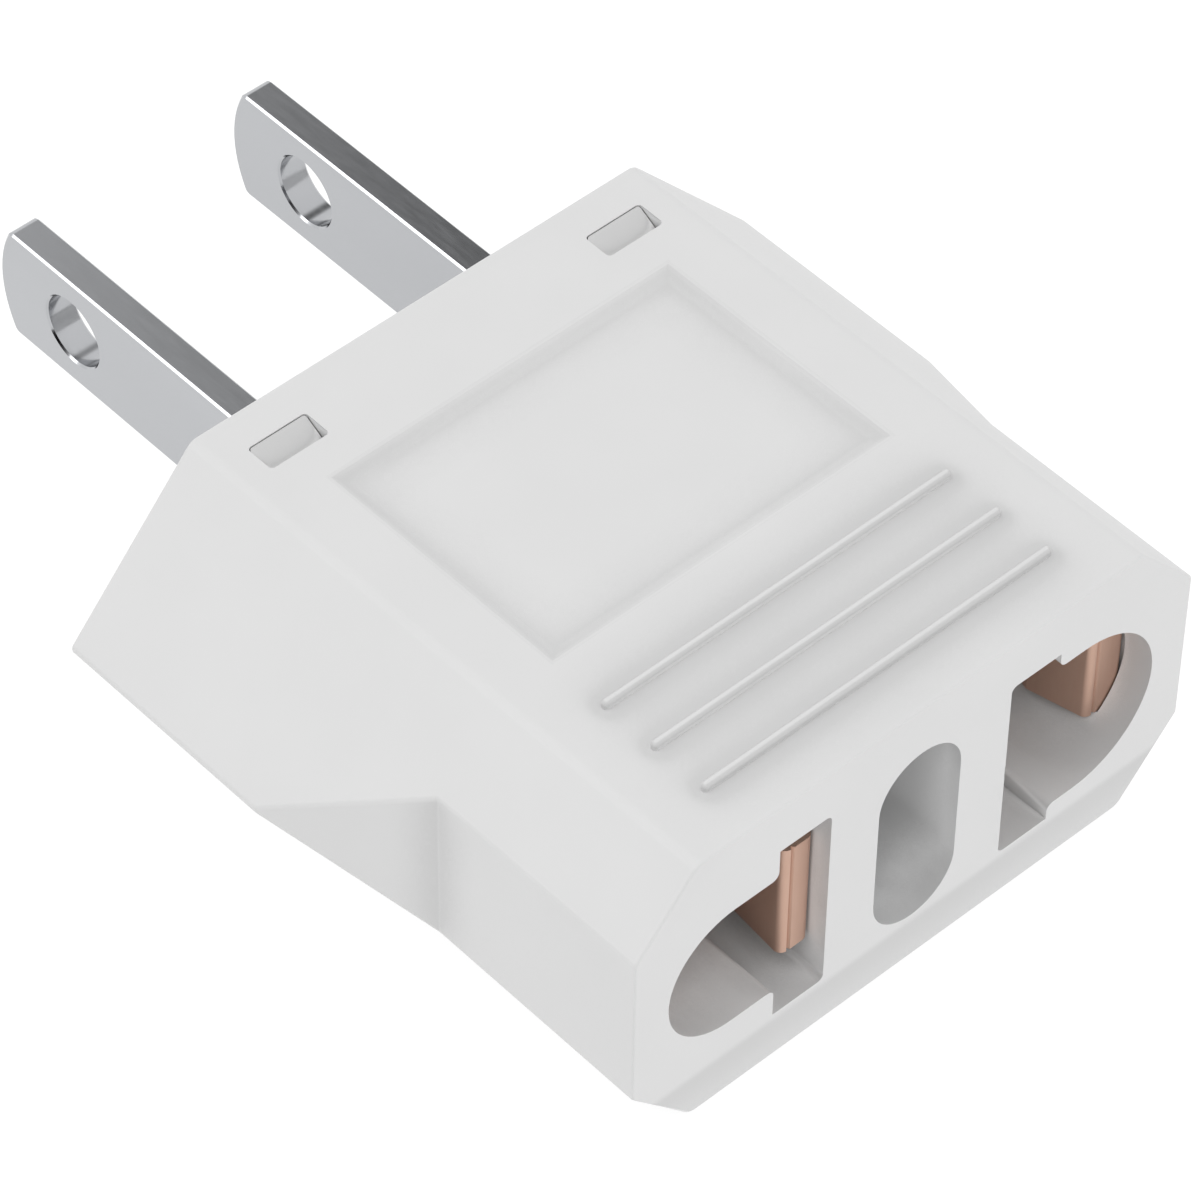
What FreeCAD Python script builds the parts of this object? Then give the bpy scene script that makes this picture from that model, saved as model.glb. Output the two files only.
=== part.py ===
import FreeCAD, Part
import math
import os

# Travel plug adapter: two flat blades at the rear, two combined sockets at the front.
# All sizes are millimetres. While modelling, x runs across, y from the socket face
# towards the blades and z up. A pair of pieces is drawn on the right and mirrored.
# At the end everything moves so that the origin lies under the middle of the object.

# Housing outline
body_length = 29.35
body_height = 14.9
top_width = 23.6
flare_out = 3.57
flare_start = 11.1
flare_end = 18.2

# How far a cutting shape reaches past the faces that it cuts
cut_past = 1.0

# Housing walls and rounded edges
wall = 1.6
rim = 1.0
socket_block = 9.0
socket_side_wall = 1.78
long_edge_radius = 0.7
side_edge_radius = 0.35
end_edge_radius = 0.1

# Sockets: each is a tall slot that opens into a round hole
slot_inner_x = 4.8
slot_outer_x = 7.5
slot_height = 9.8
slot_corner_radius = 0.3
step_corner_radius = 0.35
round_centre_x = {"left": 9.75, "right": 8.9}
round_radius = {"left": 3.35, "right": 4.12}

# Blind hole between the sockets
middle_width = 4.4
middle_height = 9.7
middle_depth = 7.5

# Grip ribs and shallow panel on the top face
rib_count = 3
rib_first = 2.6
rib_pitch = 2.76
rib_length = 18.4
rib_radius = 0.19
rib_lift = 0.17
panel_width = 18.25
panel_length = 13.25
panel_from_rear = 5.05
panel_depth = 0.3
panel_wall_run = 0.8
panel_wall_steps = 5

# Latch windows near the rear edge and the barbs that fill them
window_centre_x = 8.95
window_width = 3.0
window_length = 1.5
window_from_rear = 1.85
window_corner_radius = 0.2
latch_clearance = 0.05
barb_below_face = 0.03
barb_slope_drop = 0.65
barb_lead_length = 0.25
barb_lead_drop = 0.4
tongue_width = 4.0
tongue_thickness = 1.2
tongue_length = 4.2
tongue_clearance = 0.1

# Rear cover
cover_thickness = 1.6
cover_clearance = 0.08
barrier_thickness = 1.6
barrier_clearance = 0.3
tower_wall = 1.2
tower_length = 2.5

# Blades
blade_pitch = 12.7
blade_thickness = 1.5
blade_width = 5.8
blade_exposed = 18.55
blade_tip_radius = 6.0
blade_corner_radius = 0.4
blade_bevel = 0.09
blade_hole_radius = 1.7
blade_hole_from_rear = 13.8
blade_slot_clearance = 0.05
root_width = 7.4
root_length = 5.0

# Contacts, each folded from one strip of sheet
sheet = 0.3
contact_height = 6.1
contact_rise = 0.12
bend_radius = 0.2
contact_wall_gap = 0.06
contact_side_wall = 1.83
inner_nose_width = 1.56
outer_nose_width = 1.95
front_nose = {"left": "inner", "right": "outer"}
front_nose_depth = {"left": 0.82, "right": 1.55}
nose_set_back = 2.2
nose_groove_width = 0.2
nose_groove_depth = 0.15
nose_groove_from_leaf = 0.44
leaf_length = 9.0
leaf_bulge = 0.6
bulge_length = 2.6
leaf_gap = 0.15
channel_clearance = 0.05
web_to_root = 0.25
tab_height = 3.6
tab_length = 4.4

# Rivets that hold each contact on its blade
rivet_radius = 0.6
rivet_head_radius = 0.9
rivet_head_height = 0.4
rivet_head_bevel = 0.2
rivet_first = 1.3
rivet_pitch = 2.0

sides = ("left", "right")
nose_width = 2 * (max(round_centre_x[side] + round_radius[side] for side in sides) + socket_side_wall)
body_width = nose_width + 2 * flare_out
outer_nose_x = nose_width / 2 - contact_side_wall
mid_z = body_height / 2
rear_y = body_length
overall_length = body_length + blade_exposed
cover_front_y = rear_y - cover_thickness
tower_front_y = cover_front_y - tower_length
root_front_y = tower_front_y - root_length
web_y = root_front_y - web_to_root - sheet / 2
window_rear_y = rear_y - window_from_rear
window_front_y = window_rear_y - window_length
blade_x = blade_pitch / 2
blade_outer_face_x = blade_x + blade_thickness / 2
rivet_ys = [web_y + sheet / 2 + rivet_first + row * rivet_pitch for row in range(2)]


def vector(x, y, z):
    return FreeCAD.Vector(x, y, z)


def box(x0, x1, y0, y1, z0, z1):
    return Part.makeBox(x1 - x0, y1 - y0, z1 - z0, vector(x0, y0, z0))


def centred_box(x0, x1, y0, y1, height):
    """Box whose height is centred on the body's mid height."""
    return box(x0, x1, y0, y1, mid_z - height / 2, mid_z + height / 2)


def on_side(shape, side):
    """The shape as drawn on the right, or its mirror image on the left."""
    if side == "right":
        return shape
    return shape.mirror(vector(0, 0, 0), vector(1, 0, 0))


def upside_down(shape):
    """Mirror image about the body's mid height."""
    return shape.mirror(vector(0, 0, mid_z), vector(0, 0, 1))


def fused(shapes):
    return shapes[0].fuse(shapes[1:]).removeSplitter()


def rounded(shape, radius, chosen):
    """Fillet of the edges that the test chooses."""
    return shape.makeFillet(radius, [edge for edge in shape.Edges if chosen(edge)])


def runs_along(edge, axis):
    """True for a straight edge parallel to axis 0, 1 or 2."""
    first, last = [vertex.Point for vertex in (edge.Vertexes[0], edge.Vertexes[-1])]
    return abs(last[axis] - first[axis]) > edge.Length - 1e-6


def lies_at(edge, axis, value):
    return all(abs(vertex.Point[axis] - value) < 1e-6 for vertex in edge.Vertexes)


def body_form(inset, y0, y1):
    """Body between two depths, with every side face moved in by the inset."""
    top = top_width / 2
    side = body_width / 2
    nose = nose_width / 2
    spare = 2 * inset
    section = [(-top, body_height), (top, body_height), (side, mid_z), (top, 0), (-top, 0), (-side, mid_z)]
    half_plan = [(nose, -spare), (nose, flare_start), (side, flare_end), (side, rear_y + spare)]
    plan = half_plan + [(-x, y) for x, y in reversed(half_plan)]
    section_wire = Part.makePolygon([vector(x, y0, z) for x, z in section + section[:1]])
    plan_wire = Part.makePolygon([vector(x, y, 0) for x, y in plan + plan[:1]])
    if inset > 0:
        section_wire = section_wire.makeOffset2D(-inset, 2)
        plan_wire = plan_wire.makeOffset2D(-inset, 2)
    along = Part.Face(section_wire).extrude(vector(0, y1 - y0, 0))
    upright = Part.Face(plan_wire).extrude(vector(0, 0, body_height))
    return along.common(upright).removeSplitter()


def rounded_body():
    """Solid body with its long edges, side creases and both ends rounded."""
    body = body_form(0, 0, rear_y)

    def at_an_end(edge):
        return lies_at(edge, 1, 0) or lies_at(edge, 1, rear_y)

    def at_top_or_bottom(edge):
        return lies_at(edge, 2, 0) or lies_at(edge, 2, body_height)

    def side_crease(edge):
        middle = edge.valueAt((edge.FirstParameter + edge.LastParameter) / 2)
        return abs(middle.x) > top_width / 2 + long_edge_radius and not at_an_end(edge)

    body = rounded(body, side_edge_radius, side_crease)
    body = rounded(body, long_edge_radius, lambda edge: at_top_or_bottom(edge) and not at_an_end(edge))
    return rounded(body, end_edge_radius, at_an_end)


def socket_bore(side):
    """Slot and round hole, cut straight back through the front block."""
    y0, y1 = -cut_past, socket_block + cut_past
    slot = centred_box(slot_inner_x, slot_outer_x, y0, y1, slot_height)
    slot = rounded(slot, slot_corner_radius,
                   lambda edge: runs_along(edge, 1) and lies_at(edge, 0, slot_inner_x))
    centre, radius = round_centre_x[side], round_radius[side]
    bridge = centred_box(slot_inner_x + slot_corner_radius, centre, y0, y1, 2 * radius)
    hole = Part.makeCylinder(radius, y1 - y0, vector(centre, y0, mid_z), vector(0, 1, 0))
    steps = (mid_z - radius, mid_z + radius)
    tool = rounded(fused([slot, bridge, hole]), step_corner_radius,
                   lambda edge: lies_at(edge, 0, slot_outer_x) and any(lies_at(edge, 2, z) for z in steps))
    return on_side(tool, side)


def nose_depth(side, fold):
    """Depth of a fold behind the socket face. One fold of each contact reaches further forward."""
    return front_nose_depth[side] + (0 if front_nose[side] == fold else nose_set_back)


def contact_channel(side):
    """Pocket beside the round hole, where the contact's outer fold sits."""
    channel = centred_box(round_centre_x[side], outer_nose_x + channel_clearance,
                          nose_depth(side, "outer") - channel_clearance, socket_block + cut_past,
                          contact_height + 2 * channel_clearance)
    return on_side(channel.translated(vector(0, 0, contact_rise)), side)


def middle_pocket():
    """Blind hole with half-round top and bottom."""
    radius = middle_width / 2
    straight = middle_height - middle_width
    depth = middle_depth + cut_past
    parts = [centred_box(-radius, radius, -cut_past, middle_depth, straight)]
    for offset in (-straight / 2, straight / 2):
        parts.append(Part.makeCylinder(radius, depth, vector(0, -cut_past, mid_z + offset), vector(0, 1, 0)))
    return fused(parts)


def grip_rib(row):
    """Upright rib with a half-round crest and round ends, rooted in the top wall."""
    y = rib_first + row * rib_pitch
    reach = rib_length / 2 - rib_radius
    foot_z = body_height - rib_radius
    crest_z = body_height + rib_lift
    parts = [box(-reach, reach, y - rib_radius, y + rib_radius, foot_z, crest_z),
             Part.makeCylinder(rib_radius, 2 * reach, vector(-reach, y, crest_z), vector(1, 0, 0))]
    for x in (-reach, reach):
        parts.append(Part.makeCylinder(rib_radius, crest_z - foot_z, vector(x, y, foot_z)))
        parts.append(Part.makeSphere(rib_radius, vector(x, y, crest_z)))
    return fused(parts)


def panel_recess():
    """Shallow recess in the top face. Its walls bend softly into the face and the floor."""
    rear = rear_y - panel_from_rear
    outlines = []
    for step in range(-1, panel_wall_steps + 1):
        share = max(step, 0) / panel_wall_steps
        inset = panel_wall_run * share
        drop = panel_depth * share * share * (3 - 2 * share) if step >= 0 else -cut_past
        x = panel_width / 2 - inset
        front, back = rear - panel_length + inset, rear - inset
        corners = [vector(px, py, body_height - drop)
                   for px, py in ((-x, front), (x, front), (x, back), (-x, back))]
        outlines.append(Part.makePolygon(corners + corners[:1]))
    return Part.makeLoft(outlines, True, True)


def latch_window():
    """Opening through the top wall, above the right-hand barb."""
    x0 = window_centre_x - window_width / 2
    opening = box(x0, x0 + window_width, window_front_y, window_rear_y,
                  body_height - wall - cut_past, body_height + cut_past)
    return rounded(opening, window_corner_radius, lambda edge: runs_along(edge, 2))


def housing():
    shell = rounded_body()
    shell = shell.cut(body_form(wall, socket_block, cover_front_y))
    shell = shell.cut(body_form(rim, cover_front_y, rear_y))
    cuts = [panel_recess(), middle_pocket()]
    for side in sides:
        cuts += [socket_bore(side), contact_channel(side)]
        cuts += [on_side(latch_window(), side), on_side(upside_down(latch_window()), side)]
    shell = shell.cut(cuts)
    return shell.fuse([grip_rib(row) for row in range(rib_count)]).removeSplitter()


def barb():
    """Wedge on the right-hand tongue: a steep lead-in, a long ramp and an upright catch."""
    base_z = body_height - wall - tongue_clearance
    catch_z = body_height - barb_below_face
    front_y = window_front_y + latch_clearance
    catch_y = window_rear_y - latch_clearance
    profile = [
        (front_y, base_z),
        (front_y, catch_z - barb_slope_drop - barb_lead_drop),
        (front_y + barb_lead_length, catch_z - barb_slope_drop),
        (catch_y, catch_z),
        (catch_y, base_z),
    ]
    x0 = window_centre_x - window_width / 2 + latch_clearance
    width = window_width - 2 * latch_clearance
    wire = Part.makePolygon([vector(x0, y, z) for y, z in profile + profile[:1]])
    wedge = Part.Face(wire).extrude(vector(width, 0, 0))
    plug = rounded(box(x0, x0 + width, front_y, catch_y, base_z, catch_z),
                   window_corner_radius - latch_clearance, lambda edge: runs_along(edge, 2))
    return wedge.common(plug)


def tongue():
    """Flexible tongue under the top wall that carries the right-hand barb."""
    top_z = body_height - wall - tongue_clearance
    x0 = window_centre_x - tongue_width / 2
    tip_y = cover_front_y - tongue_length
    blank = box(x0, x0 + tongue_width, tip_y, cover_front_y, top_z - tongue_thickness, top_z)
    room = body_form(wall + tongue_clearance, tip_y, cover_front_y)
    return fused([blank.common(room), barb()])


def blade_tower():
    """Block round the right-hand blade, inside the cover."""
    half_x = blade_thickness / 2 + blade_slot_clearance + tower_wall
    height = blade_width + 2 * (blade_slot_clearance + tower_wall)
    return centred_box(blade_x - half_x, blade_x + half_x, tower_front_y, cover_front_y, height)


def blade_slot():
    half_x = blade_thickness / 2 + blade_slot_clearance
    height = blade_width + 2 * blade_slot_clearance
    return centred_box(blade_x - half_x, blade_x + half_x,
                       tower_front_y - cut_past, rear_y + cut_past, height)


def rear_cover():
    """Plate with towers for the blades, snap tongues and a wall between the live parts."""
    plate = body_form(rim + cover_clearance, cover_front_y, rear_y)
    barrier_y = socket_block + barrier_clearance
    barrier = box(-barrier_thickness / 2, barrier_thickness / 2, barrier_y, cover_front_y, 0, body_height)
    barrier = barrier.common(body_form(wall + barrier_clearance, barrier_y, cover_front_y))
    parts = [plate, barrier]
    for side in sides:
        parts.append(on_side(blade_tower(), side))
        parts.append(on_side(tongue(), side))
        parts.append(on_side(upside_down(tongue()), side))
    cover = fused(parts)
    return cover.cut([on_side(blade_slot(), side) for side in sides])


def rivet_hole(y):
    reach = blade_pitch
    return Part.makeCylinder(rivet_radius, reach, vector(blade_x - reach / 2, y, mid_z), vector(1, 0, 0))


def blade(side):
    """Flat blade with an arc tip, a hole near the tip and a wider root inside the cover."""
    x0 = blade_x - blade_thickness / 2
    x1 = blade_x + blade_thickness / 2
    tip_y = rear_y + blade_exposed

    def across(radius, y):
        return Part.makeCylinder(radius, blade_thickness, vector(x0, y, mid_z), vector(1, 0, 0))

    straight_end = tip_y - blade_tip_radius
    tip = across(blade_tip_radius, straight_end).common(centred_box(x0, x1, straight_end, tip_y, blade_width))
    flat = fused([tip, centred_box(x0, x1, tower_front_y, straight_end, blade_width)])
    flat = rounded(flat, blade_corner_radius,
                   lambda edge: runs_along(edge, 0) and edge.CenterOfMass.y > straight_end)
    flat = flat.cut(across(blade_hole_radius, rear_y + blade_hole_from_rear))
    outline = [edge for edge in flat.Edges if edge.CenterOfMass.y > tower_front_y + 1e-6
               and (lies_at(edge, 0, x0) or lies_at(edge, 0, x1))]
    flat = flat.makeChamfer(blade_bevel, outline)
    root = centred_box(x0, x1, root_front_y, tower_front_y, root_width)
    piece = fused([flat, root]).cut([rivet_hole(y) for y in rivet_ys])
    return on_side(piece, side)


def folded_strip(points, height):
    """Sheet folded along a path seen from above, with a round bend at each inner point."""
    points = [vector(x, y, 0) for x, y in points]
    upper, lower = [], []
    start = points[0]
    for before, corner, after in zip(points, points[1:], points[2:]):
        into = (corner - before).normalize()
        out = (after - corner).normalize()
        turn = math.atan2(into.x * out.y - into.y * out.x, into.dot(out))
        setback = bend_radius * math.tan(abs(turn) / 2)
        first = corner - into * setback
        last = corner + out * setback
        left = vector(-into.y, into.x, 0)
        centre = first + left * math.copysign(bend_radius, turn)
        middle = centre + (corner - centre).normalize() * bend_radius
        for edges, sign in ((upper, 1), (lower, -1)):
            offset = left * (sign * sheet / 2)
            edges.append(Part.makeLine(start + offset, first + offset))
            arc = [centre + (point - centre) * (1 - sign * math.copysign(sheet / 2, turn) / bend_radius)
                   for point in (first, middle, last)]
            edges.append(Part.Arc(*arc).toShape())
        start = last
    direction = (points[-1] - start).normalize()
    left = vector(-direction.y, direction.x, 0)
    for edges, sign in ((upper, 1), (lower, -1)):
        offset = left * (sign * sheet / 2)
        edges.append(Part.makeLine(start + offset, points[-1] + offset))
    caps = [Part.makeLine(one[index].Vertexes[end].Point, other[index].Vertexes[end].Point)
            for one, other, index, end in ((upper, lower, 0, 0), (upper, lower, -1, -1))]
    wire = Part.Wire(Part.__sortEdges__(upper + lower + caps))
    strip = Part.Face(wire).extrude(vector(0, 0, height))
    return strip.translated(vector(0, 0, mid_z - height / 2))


def nose_groove(x, y):
    """Shallow V pressed into the front of a fold."""
    half = nose_groove_width / 2
    corners = [vector(x - half, y, 0), vector(x, y + nose_groove_depth, 0), vector(x + half, y, 0)]
    return Part.Face(Part.makePolygon(corners + corners[:1])).extrude(vector(0, 0, body_height))


def contact(side):
    """One strip: an inner and an outer hairpin spring, joined by a web with a riveted tab."""
    inner_depth, outer_depth = nose_depth(side, "inner"), nose_depth(side, "outer")
    inner_y, outer_y = inner_depth + sheet / 2, outer_depth + sheet / 2
    inner_back_x = slot_inner_x + contact_wall_gap + sheet / 2
    inner_leaf_x = inner_back_x + inner_nose_width - sheet
    outer_back_x = outer_nose_x - sheet / 2
    outer_leaf_x = outer_back_x - outer_nose_width + sheet
    settled = sheet + leaf_gap
    path = [
        (inner_back_x + settled, inner_y + leaf_length),
        (inner_leaf_x, inner_y),
        (inner_back_x, inner_y),
        (inner_back_x, web_y),
        (outer_back_x, web_y),
        (outer_back_x, outer_y),
        (outer_leaf_x, outer_y),
        (outer_leaf_x - leaf_bulge, outer_y + bulge_length),
        (outer_back_x - settled, outer_y + leaf_length),
    ]
    strip = folded_strip(path, contact_height).translated(vector(0, 0, contact_rise))
    tab_x = blade_outer_face_x + sheet / 2
    tab_rear_y = web_y + sheet / 2 + tab_length
    opening = centred_box(tab_x - sheet, tab_x + tab_length, web_y - sheet, web_y + sheet, tab_height)
    tab = folded_strip([(tab_x - 3 * sheet, web_y), (tab_x, web_y), (tab_x, tab_rear_y)], tab_height)
    piece = fused([strip.cut(opening), tab])
    grooves = [nose_groove(inner_leaf_x + sheet / 2 - nose_groove_from_leaf, inner_depth),
               nose_groove(outer_leaf_x - sheet / 2 + nose_groove_from_leaf, outer_depth)]
    piece = piece.cut(grooves + [rivet_hole(y) for y in rivet_ys])
    return on_side(piece, side)


def rivet(side, y):
    """Shank through the blade and the tab, with a bevelled head on each end."""
    x0 = blade_x - blade_thickness / 2
    x1 = blade_outer_face_x + sheet
    shank = Part.makeCylinder(rivet_radius, x1 - x0, vector(x0, y, mid_z), vector(1, 0, 0))
    parts = [shank]
    for x, away in ((x0, -1), (x1, 1)):
        start = vector(x, y, mid_z)
        head = Part.makeCylinder(rivet_head_radius, rivet_head_height, start, vector(away, 0, 0))
        crown_x = x + away * rivet_head_height
        crown = [edge for edge in head.Edges if lies_at(edge, 0, crown_x)]
        parts.append(head.makeChamfer(rivet_head_bevel, crown))
    return on_side(fused(parts), side)


def all_pieces():
    pieces = {"housing": housing(), "rear_cover": rear_cover()}
    for side in sides:
        pieces["blade_" + side] = blade(side)
        pieces["contact_" + side] = contact(side)
        for place, y in zip(("front", "rear"), rivet_ys):
            pieces["rivet_" + side + "_" + place] = rivet(side, y)
    return pieces


os.makedirs("parts", exist_ok=True)
for name, piece in all_pieces().items():
    placed = piece.translated(vector(0, -overall_length / 2, 0))
    placed.exportStep("parts/" + name + ".step")
    print(name, "solids", len(placed.Solids), "valid", placed.isValid(), "volume", round(placed.Volume, 2))
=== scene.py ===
# %% [markdown]
# # A travel plug adapter, dressed for its portrait
# The adapter is a white moulded body with two combined sockets in front and two flat
# blades behind. Its exact shape arrives as a finished CAD model, so this notebook adds
# what a drawing doesn't hold: soft normals on the rounded edges, plastic and metal
# finishes, a floor, light and a camera. Each step starts with a few words on why it is
# done that way.

# %% Load the CAD frame
from math import cos, radians, sin

import bmesh
import bpy
from mathutils import Matrix, Vector


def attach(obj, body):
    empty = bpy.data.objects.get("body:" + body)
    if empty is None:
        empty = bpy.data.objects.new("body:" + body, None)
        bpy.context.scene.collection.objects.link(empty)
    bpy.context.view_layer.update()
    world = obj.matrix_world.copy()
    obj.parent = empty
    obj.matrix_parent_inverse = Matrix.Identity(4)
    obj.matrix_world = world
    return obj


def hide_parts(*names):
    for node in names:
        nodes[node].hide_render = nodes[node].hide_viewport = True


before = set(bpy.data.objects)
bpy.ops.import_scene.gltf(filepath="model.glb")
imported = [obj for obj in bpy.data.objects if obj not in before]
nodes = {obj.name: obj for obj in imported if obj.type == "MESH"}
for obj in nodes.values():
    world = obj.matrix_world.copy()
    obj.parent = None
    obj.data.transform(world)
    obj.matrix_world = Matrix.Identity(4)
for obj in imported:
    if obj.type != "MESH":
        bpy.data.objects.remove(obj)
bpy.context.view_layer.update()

mm = 0.001
print("nodes:", ", ".join(sorted(nodes)))

# %% [markdown]
# ## Small helpers for shader trees
# A material is a graph, and most of its lines only place a node or join two sockets.
# One helper that places a node and fills in its sockets keeps every finish below short
# enough to read as a recipe.

# %% A node with its sockets filled in
def place(tree, kind, settings=(), **sockets):
    """Adds a shader node. Settings are attributes; sockets are values or links by name."""
    node = tree.nodes.new(kind)
    for name, value in dict(settings).items():
        setattr(node, name, value)
    for name, value in sockets.items():
        socket = node.inputs[name.replace("_", " ")]
        if isinstance(value, bpy.types.NodeSocket):
            tree.links.new(value, socket)
        else:
            socket.default_value = value
    return node


def fresh_material(name):
    """An empty material, its tree, and the output node that its shader goes into."""
    material = bpy.data.materials.new(name)
    material.use_nodes = True
    tree = material.node_tree
    tree.nodes.clear()
    return material, tree, tree.nodes.new("ShaderNodeOutputMaterial")


def piece_coordinates(tree, stretch=(1, 1, 1)):
    """Object coordinates, stretched so that a grain can run along a piece."""
    where = tree.nodes.new("ShaderNodeTexCoord").outputs["Object"]
    return place(tree, "ShaderNodeMapping", Vector=where, Scale=stretch).outputs["Vector"]


def mixed_colours(tree, share, first, second):
    """Two colours mixed. A Mix node takes them in sockets 6 and 7 and gives the mix in 2."""
    mix = place(tree, "ShaderNodeMix", {"data_type": "RGBA"}, Factor=share)
    tree.links.new(first, mix.inputs[6])
    tree.links.new(second, mix.inputs[7])
    return mix.outputs[2]


print("shader helpers ready")

# %% [markdown]
# ## Surface grain, shared by plastic and metal
# No moulded or rolled surface is perfectly even. The mould leaves a fine satin texture
# and the rolling mill leaves faint streaks. Both are noise at a small scale, so one node
# group serves all finishes: the material decides how far the noise is stretched.

# %% The grain group
def number_input(group, name, value):
    """A number that each material can set, with the value it has otherwise."""
    socket = group.interface.new_socket(name, in_out="INPUT", socket_type="NodeSocketFloat")
    socket.default_value = value


grain = bpy.data.node_groups.new("surface_grain", "ShaderNodeTree")
grain.interface.new_socket("Vector", in_out="INPUT", socket_type="NodeSocketVector")
number_input(grain, "Scale", 4000)
number_input(grain, "Low", 0.4)
number_input(grain, "High", 0.5)
grain.interface.new_socket("Height", in_out="OUTPUT", socket_type="NodeSocketFloat")
grain.interface.new_socket("Roughness", in_out="OUTPUT", socket_type="NodeSocketFloat")
inside = grain.nodes.new("NodeGroupInput").outputs
fine = place(grain, "ShaderNodeTexNoise", Vector=inside["Vector"], Scale=inside["Scale"], Detail=3.0)
spread = place(grain, "ShaderNodeMapRange", Value=fine.outputs["Fac"], From_Min=0.3, From_Max=0.7,
               To_Min=inside["Low"], To_Max=inside["High"])
result = grain.nodes.new("NodeGroupOutput")
grain.links.new(fine.outputs["Fac"], result.inputs["Height"])
grain.links.new(spread.outputs["Result"], result.inputs["Roughness"])
print("surface_grain puts out", [socket.name for socket in result.inputs if socket.name])

# %% [markdown]
# ## Slow drift of colour
# A surface this small still isn't one flat colour: plastic cools a shade unevenly, and
# bare metal tarnishes in soft clouds. The second shared group mixes two near colours by
# a slow noise, a few millimetres from cloud to cloud.

# %% The tint group
tint = bpy.data.node_groups.new("tint_drift", "ShaderNodeTree")
tint.interface.new_socket("Vector", in_out="INPUT", socket_type="NodeSocketVector")
number_input(tint, "Scale", 200)
for name in ("First", "Second"):
    tint.interface.new_socket(name, in_out="INPUT", socket_type="NodeSocketColor")
tint.interface.new_socket("Colour", in_out="OUTPUT", socket_type="NodeSocketColor")
inside = tint.nodes.new("NodeGroupInput").outputs
clouds = place(tint, "ShaderNodeTexNoise", Vector=inside["Vector"], Scale=inside["Scale"], Detail=2.0)
share = place(tint, "ShaderNodeMapRange", Value=clouds.outputs["Fac"], From_Min=0.35, From_Max=0.65)
drifting = mixed_colours(tint, share.outputs["Result"], inside["First"], inside["Second"])
result = tint.nodes.new("NodeGroupOutput")
tint.links.new(drifting, result.inputs["Colour"])
print("tint_drift puts out", [socket.name for socket in result.inputs if socket.name])

# %% [markdown]
# ## Painted shade in the corners
# White plastic looks darker in its corners and hollows than in the open, because less light
# reaches there. This group paints that shade into the colour. Ambient Occlusion tells how
# open a point is within some reach, and a ramp turns that into a share of unshaded plastic.
# Even open surfaces keep a fixed share of the darker colour. The third group asks twice. A
# near look finds the small corners beside the ribs, along the step of the panel and in the
# latch windows, and paints shade there. A far look finds the walls of the sockets and paints
# them lighter, a painted light, and leaves out the deepest ends, which stay in painted shade.

# %% The painted corner shade group
corner_shade = bpy.data.node_groups.new("painted_corner_shade", "ShaderNodeTree")
for name in ("Clean", "Dusty"):
    corner_shade.interface.new_socket(name, in_out="INPUT", socket_type="NodeSocketColor")
number_input(corner_shade, "Near", 2.5 * mm)
number_input(corner_shade, "Far", 8 * mm)
corner_shade.interface.new_socket("Colour", in_out="OUTPUT", socket_type="NodeSocketColor")
inside = corner_shade.nodes.new("NodeGroupInput").outputs


def unshaded_share(reach, samples, shares):
    """How much of the unshaded colour a point keeps, from how open it is within a reach; the rest is
    painted shade.
    """
    openness = place(corner_shade, "ShaderNodeAmbientOcclusion", {"samples": samples}, Distance=inside[reach])
    ramp = place(corner_shade, "ShaderNodeValToRGB", Fac=openness.outputs["AO"])
    stops = ramp.color_ramp.elements
    for stop, (position, share) in zip(list(stops), (shares[0], shares[-1])):
        stop.color = (share, share, share, 1)
    for position, share in shares[1:-1]:
        stops.new(position).color = (share, share, share, 1)
    return ramp.outputs["Color"]


# Each pair is an openness, from closed in (0) to open (1), and the share of unshaded plastic there.
# The rest is painted shade. On the socket walls the far share paints the plastic lighter.
corner_shade_shares = ((0, 0.1), (0.45, 0.28), (0.62, 0.56), (0.85, 0.5), (0.97, 0.47), (1, 0.68))
socket_light_shares = ((0, 0), (0.26, 0.1), (0.36, 1), (0.46, 1), (0.56, 0), (1, 0))
# Near look: painted shade beside the ribs, along the panel step and in the latch windows. Far look: painted
# light on the socket walls.
near_unshaded_share = unshaded_share("Near", 32, corner_shade_shares)
far_unshaded_share = unshaded_share("Far", 16, socket_light_shares)
larger_unshaded_share = place(corner_shade, "ShaderNodeMath", {"operation": "MAXIMUM"})
corner_shade.links.new(near_unshaded_share, larger_unshaded_share.inputs[0])
corner_shade.links.new(far_unshaded_share, larger_unshaded_share.inputs[1])
shaded_colour = mixed_colours(corner_shade, larger_unshaded_share.outputs["Value"], inside["Dusty"], inside["Clean"])
result = corner_shade.nodes.new("NodeGroupOutput")
corner_shade.links.new(shaded_colour, result.inputs["Colour"])
print("painted_corner_shade puts out", [socket.name for socket in result.inputs if socket.name])

# %% [markdown]
# ## One recipe for four finishes
# All four finishes are a Principled shader fed by the groups, and differ only in their
# numbers. What is the same all over a surface, such as how metallic it is, is set on
# the shader itself. What varies comes through the groups.

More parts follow.
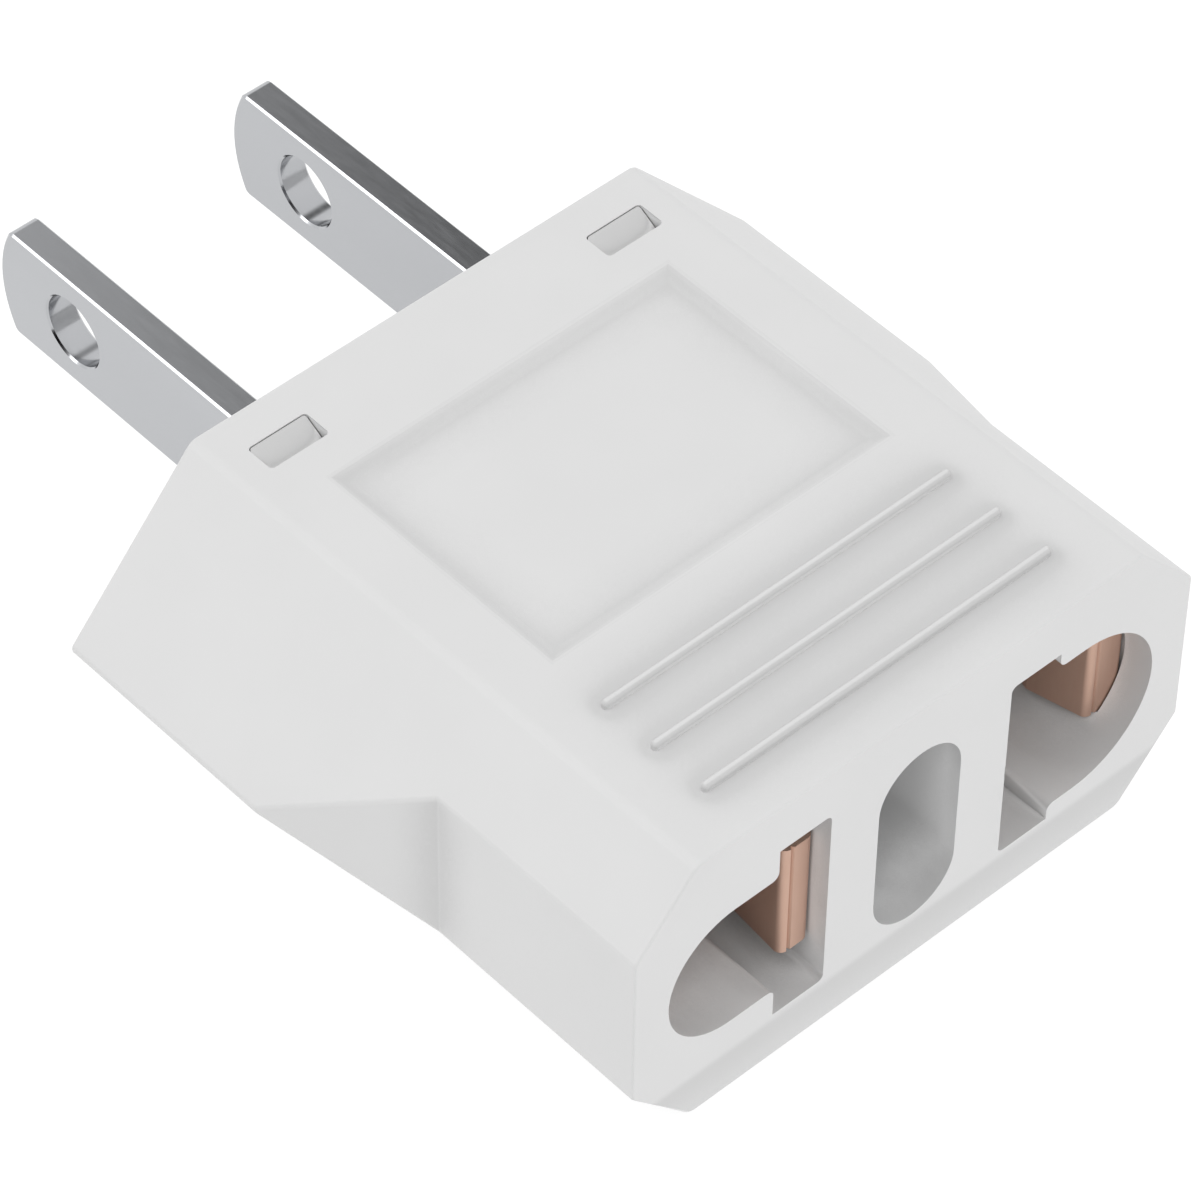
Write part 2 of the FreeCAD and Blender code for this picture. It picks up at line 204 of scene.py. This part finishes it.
# %% Finish builder
def finish(name, colours, grain_scale, stretch, roughness, bump, dusty=None, **shader_values):
    """A material from two near colours, a grain and a range of roughness."""
    material, tree, output = fresh_material(name)
    along = piece_coordinates(tree, stretch)
    texture = place(tree, "ShaderNodeGroup", {"node_tree": grain}, Vector=along, Scale=grain_scale,
                    Low=roughness[0], High=roughness[1])
    colour = place(tree, "ShaderNodeGroup", {"node_tree": tint}, Vector=along,
                   First=(*colours[0], 1), Second=(*colours[1], 1)).outputs["Colour"]
    # Painted shade: this darker colour fills the corners and hollows, and the socket walls are painted
    # lighter.
    if dusty:
        colour = place(tree, "ShaderNodeGroup", {"node_tree": corner_shade}, Clean=colour,
                       Dusty=(*dusty, 1)).outputs["Colour"]
    relief = place(tree, "ShaderNodeBump", Strength=1.0, Distance=bump,
                   Height=texture.outputs["Height"])
    shader = place(tree, "ShaderNodeBsdfPrincipled", Base_Color=colour,
                   Roughness=texture.outputs["Roughness"], Normal=relief.outputs["Normal"], **shader_values)
    tree.links.new(shader.outputs["BSDF"], output.inputs["Surface"])
    return material


# The white plastic takes painted shade in its corners and painted light on its socket walls.
white_plastic = finish("white_plastic", [(0.795, 0.795, 0.795), (0.81, 0.81, 0.81)], grain_scale=6000,
                       stretch=(1, 1, 1), roughness=(0.42, 0.5), bump=0.0004 * mm,
                       dusty=(0.355, 0.355, 0.355), IOR=1.5)
nickel_plate = finish("nickel_plate", [(0.46, 0.468, 0.484), (0.475, 0.483, 0.5)], grain_scale=5000,
                      stretch=(1, 0.15, 1), roughness=(0.13, 0.18), bump=0.00006 * mm, Metallic=1.0)
contact_copper = finish("contact_copper", [(0.62, 0.42, 0.332), (0.58, 0.395, 0.31)], grain_scale=5000,
                        stretch=(1, 1, 0.15), roughness=(0.5, 0.56), bump=0.00002 * mm, Metallic=1.0)
rivet_brass = finish("rivet_brass", [(0.78, 0.62, 0.36), (0.72, 0.56, 0.32)], grain_scale=5000,
                     stretch=(1, 1, 1), roughness=(0.3, 0.4), bump=0.0004 * mm, Metallic=1.0)
print("finishes:", white_plastic.name, nickel_plate.name, contact_copper.name, rivet_brass.name)

# %% [markdown]
# ## From loose triangles to a smooth piece
# The CAD mesh is a heap of loose triangles, which light shows as flat facets on every
# rounded edge. A copy is merged, and its flat faces are joined back into single faces.
# Then a face-weighted normal lets each flat face keep its own direction, and only the
# rounded edge between two of them bends the light. This is kinder to the shape than a
# subdivision surface, which would swell it.

# %% A merged, smooth copy of a node
def smooth_copy(node, name, material, sharp_angle=35):
    """Stands for the node with the same shape, soft normals and a finish."""
    form = bmesh.new()
    form.from_mesh(nodes[node].data)
    bmesh.ops.remove_doubles(form, verts=form.verts, dist=0.0005 * mm)
    bmesh.ops.dissolve_limit(form, angle_limit=radians(0.2), verts=form.verts, edges=form.edges)
    for face in form.faces:
        face.smooth = True
    for edge in form.edges:
        edge.smooth = edge.calc_face_angle(0) < radians(sharp_angle)
    mesh = bpy.data.meshes.new(name)
    form.to_mesh(mesh)
    form.free()
    mesh.materials.append(material)
    piece = bpy.data.objects.new(name, mesh)
    bpy.context.scene.collection.objects.link(piece)
    normals = piece.modifiers.new("flat_faces_lead", "WEIGHTED_NORMAL")
    normals.keep_sharp = True
    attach(piece, "root")
    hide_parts(node)
    print(name, "has", len(mesh.polygons), "faces")


# %% [markdown]
# ## The white mouldings
# The housing is what the eye meets first. Behind it sits the rear cover, whose barbs
# fill the two latch windows. Both come out of the same kind of mould, so both take the
# same satin white.

# %% Housing and rear cover
smooth_copy("housing", "housing_moulding", white_plastic)
smooth_copy("rear_cover", "rear_cover_moulding", white_plastic)

# %% [markdown]
# ## Blades and contacts
# The blades are stamped from strip and plated, so their narrow bevels flash brighter
# than their faces. The contacts are folded from thin spring sheet. Their bends are round
# and catch a warm line of light just inside the sockets.

# %% Metal pieces
for side in ("left", "right"):
    smooth_copy("blade_" + side, side + "_flat_blade", nickel_plate)
    smooth_copy("contact_" + side, side + "_spring_contact", contact_copper)

# %% [markdown]
# ## Rivets
# The rivets hold each contact on its blade, deep inside the housing. Their shape is
# right as it comes, so they keep their CAD mesh and only get a finish.

# %% Rivet finish
for name, node in nodes.items():
    if name.startswith("rivet"):
        node.data.materials.clear()
        node.data.materials.append(rivet_brass)
        print(name, "finished in", rivet_brass.name)

# %% [markdown]
# ## A light table for a floor
# The photograph shows the adapter on plain white, with hardly any shadow. Product shots
# get that from a light table: a pale sheet lit from below. So the floor is a wide, pale
# sheet that glows a little by itself. It throws light back up under the flared sides
# and keeps only a breath of shadow where the part rests. It sits a hair below the part
# so that the two don't fight for the same height.

# %% Floor
floor_half_width = 2.0
hair = 0.02 * mm
floor_form = bmesh.new()
bmesh.ops.create_grid(floor_form, x_segments=8, y_segments=8, size=floor_half_width)
bmesh.ops.translate(floor_form, verts=floor_form.verts, vec=(0, 0, -hair))
floor_mesh = bpy.data.meshes.new("pale_floor")
floor_form.to_mesh(floor_mesh)
floor_form.free()
pale_floor, floor_tree, floor_output = fresh_material("pale_floor")
floor_shader = place(floor_tree, "ShaderNodeBsdfPrincipled", Base_Color=(0.2, 0.2, 0.2, 1),
                     Roughness=0.9, Emission_Color=(1, 1, 1, 1), Emission_Strength=0.85)
floor_tree.links.new(floor_shader.outputs["BSDF"], floor_output.inputs["Surface"])
floor_mesh.materials.append(pale_floor)
floor = bpy.data.objects.new("pale_floor", floor_mesh)
bpy.context.scene.collection.objects.link(floor)
print("floor", 2 * floor_half_width, "m wide")

# %% [markdown]
# ## Light like a white tent
# Product shots of white plastic are taken in a tent of white cloth: light from all
# sides, with a few dark flags outside it. White edges would vanish in even light, and
# metal needs something dark to reflect. The world is the tent. Its brightness follows
# the direction only. One flag stands high at the back right, where the top edges of the
# blades look, and another low at the left tones down the sides that stand upright.
# A weak one stands on the right. Overhead, a little to the left, a lamp behind the
# cloth makes a brighter patch.

# %% Tent
world = bpy.data.worlds.new("white_tent")
bpy.context.scene.world = world
world.use_nodes = True
sky = world.node_tree
sky.nodes.clear()
direction = sky.nodes.new("ShaderNodeTexCoord").outputs["Generated"]


def patch(towards, edge, core, brightness):
    """A part of the cloth: 1 outside its soft edge, and its own brightness at the core."""
    facing = place(sky, "ShaderNodeVectorMath", {"operation": "DOT_PRODUCT"})
    sky.links.new(direction, facing.inputs[0])
    facing.inputs[1].default_value = Vector(towards).normalized()
    shade = place(sky, "ShaderNodeMapRange", {"interpolation_type": "SMOOTHSTEP"},
                  Value=facing.outputs["Value"], From_Min=edge, From_Max=core,
                  To_Min=1.0, To_Max=brightness)
    return shade.outputs["Result"]


patches = [
    patch((0.621, 0.421, 0.661), edge=0.941, core=0.99, brightness=0.1),
    patch((-1.0, -0.1, 0.05), edge=0.68, core=0.93, brightness=0.0),
    patch((1.0, 0.0, 0.3), edge=0.6, core=0.95, brightness=0.8),
    patch((-0.6, 0.05, 0.8), edge=0.5, core=0.95, brightness=1.45),
]
tent = place(sky, "ShaderNodeValue").outputs["Value"]
tent.default_value = 1.07
for shade in patches:
    layered = place(sky, "ShaderNodeMath", {"operation": "MULTIPLY"})
    sky.links.new(tent, layered.inputs[0])
    sky.links.new(shade, layered.inputs[1])
    tent = layered.outputs["Value"]
cloth = place(sky, "ShaderNodeBackground", Color=(1, 1, 1, 1), Strength=tent)
sky_output = sky.nodes.new("ShaderNodeOutputWorld")
sky.links.new(cloth.outputs["Background"], sky_output.inputs["Surface"])
print("tent with", len(patches), "patches")

# %% [markdown]
# ## One soft key light
# A single small panel stands low behind the part, to the left. It grazes the top face
# and draws the thin white lines along the bevels of the blades and the rear edge.

# %% Key light
key = bpy.data.objects.new("soft_key", bpy.data.lights.new("soft_key", "AREA"))
key.data.shape = "SQUARE"
key.data.size = 0.2
key.data.energy = 0.24
bpy.context.scene.collection.objects.link(key)
key.location = (-0.442, 0.297, 0.276)
key.rotation_euler = key.location.to_track_quat("Z", "Y").to_euler()
print("key light", round(key.location.length, 2), "m away")

# %% [markdown]
# ## The camera
# The camera stands where the photograph was taken from: well to the left, almost as
# high as it is far, and with a long lens, so the edges stay nearly parallel. It aims at
# a point inside the body and leans by less than a degree.

# %% Camera
aim = Vector((-1.2669, -6.8668, 8.1271)) * mm
azimuth, elevation, lean = radians(-42.8732), radians(47.4615), radians(0.8359)
distance = 245.1186 * mm
back = Vector((cos(elevation) * sin(azimuth), -cos(elevation) * cos(azimuth), sin(elevation)))
camera = bpy.data.objects.new("camera", bpy.data.cameras.new("camera"))
camera.data.sensor_width = 36
camera.data.lens = 185.136
camera.data.clip_start = 0.01
turn = back.to_track_quat("Z", "Y").to_matrix().to_4x4() @ Matrix.Rotation(lean, 4, "Z")
camera.matrix_world = Matrix.Translation(aim + back * distance) @ turn
bpy.context.scene.collection.objects.link(camera)
bpy.context.scene.camera = camera
bpy.context.scene.view_settings.view_transform = "Standard"
print("camera at", [round(part / mm, 1) for part in camera.matrix_world.translation], "mm")
